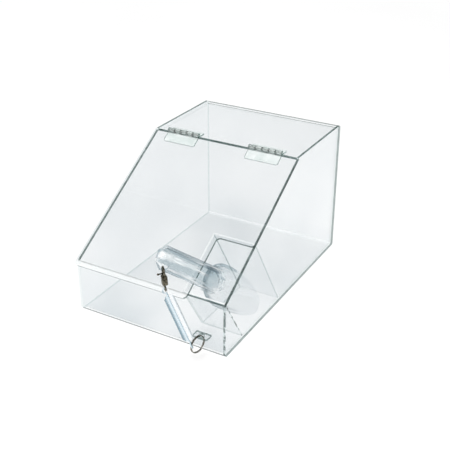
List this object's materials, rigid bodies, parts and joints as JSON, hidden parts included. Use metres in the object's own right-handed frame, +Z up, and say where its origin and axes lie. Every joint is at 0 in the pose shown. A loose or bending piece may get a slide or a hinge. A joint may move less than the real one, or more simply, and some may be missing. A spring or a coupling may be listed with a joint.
{
  "type": "countertop bulk bin with tethered scoop",
  "caption": "Clear acrylic countertop bin with a sloping hinged lid, a scoop resting in a notched corner pocket and a coiled tether to the scoop.",
  "frame": {"origin": "centre of the base's underside", "axes": "+Z up, the front and lid slope face -Y, +X to the right seen from the front"},
  "size_m": [0.2032, 0.3319, 0.1835],
  "materials": {
    "clear_acrylic": "polished",
    "clear_lid": "polished",
    "clear_pocket": "polished",
    "clear_hinge": "polished moulded",
    "clear_scoop": "polished moulded",
    "hinge_pin_steel": "drawn wire",
    "antique_brass": "dark aged",
    "ring_steel": "polished wire",
    "blue_coil": "translucent gloss"
  },
  "bodies": {
    "bin": {"wrapped_body_sheet": "clear_acrylic", "left_side_panel": "clear_acrylic", "right_side_panel": "clear_acrylic", "pocket_left_wall": "clear_pocket", "pocket_front_wall": "clear_pocket", "pocket_back_wall": "clear_pocket", "tether_anchor_tab": "clear_acrylic", "left_hinge_top_leaf": "clear_hinge", "right_hinge_top_leaf": "clear_hinge", "left_hinge_pin": "hinge_pin_steel", "right_hinge_pin": "hinge_pin_steel", "tether_coil": "blue_coil"},
    "lid": {"lid_panel": "clear_lid", "left_hinge_lid_leaf": "clear_hinge", "right_hinge_lid_leaf": "clear_hinge"},
    "scoop": {"scoop": "clear_scoop", "clasp_body": "antique_brass", "clasp_gate_pin": "antique_brass"},
    "gate": {"clasp_gate": "antique_brass"},
    "swivel_eye": {"clasp_swivel_eye": "antique_brass"},
    "key_ring": {"key_ring": "ring_steel"}
  },
  "joints": [
    {"name": "lid_hinge", "type": "hinge", "parent": "bin", "child": "lid", "pos_m": [0, 0.02108, 0.1807], "axis": [-1, 0, 0], "range_deg": [0, 120], "deforming": ["tether_coil"]},
    {"name": "scoop_lift", "type": "slide", "parent": "lid", "child": "scoop", "axis": [0, -0.5237, 0.8519], "range_m": [0, 0.12], "deforming": ["tether_coil"]},
    {"name": "clasp_gate_hinge", "type": "hinge", "parent": "scoop", "child": "gate", "pos_m": [0.03429, -0.17029, 0.09356], "axis": [0.6611, 0.7481, 0.0578], "range_deg": [0, 12], "stiffness_Nm_per_rad": 0.002},
    {"name": "clasp_swivel", "type": "hinge", "parent": "scoop", "child": "swivel_eye", "pos_m": [0.03629, -0.17108, 0.08108], "axis": [-0.0872, 0, 0.9962], "continuous": true, "deforming": ["tether_coil"]},
    {"name": "key_ring_turn", "type": "hinge", "parent": "bin", "child": "key_ring", "pos_m": [0.07251, -0.16446, 0.016], "axis": [0.9744, -0.225, 0], "continuous": true}
  ]
}
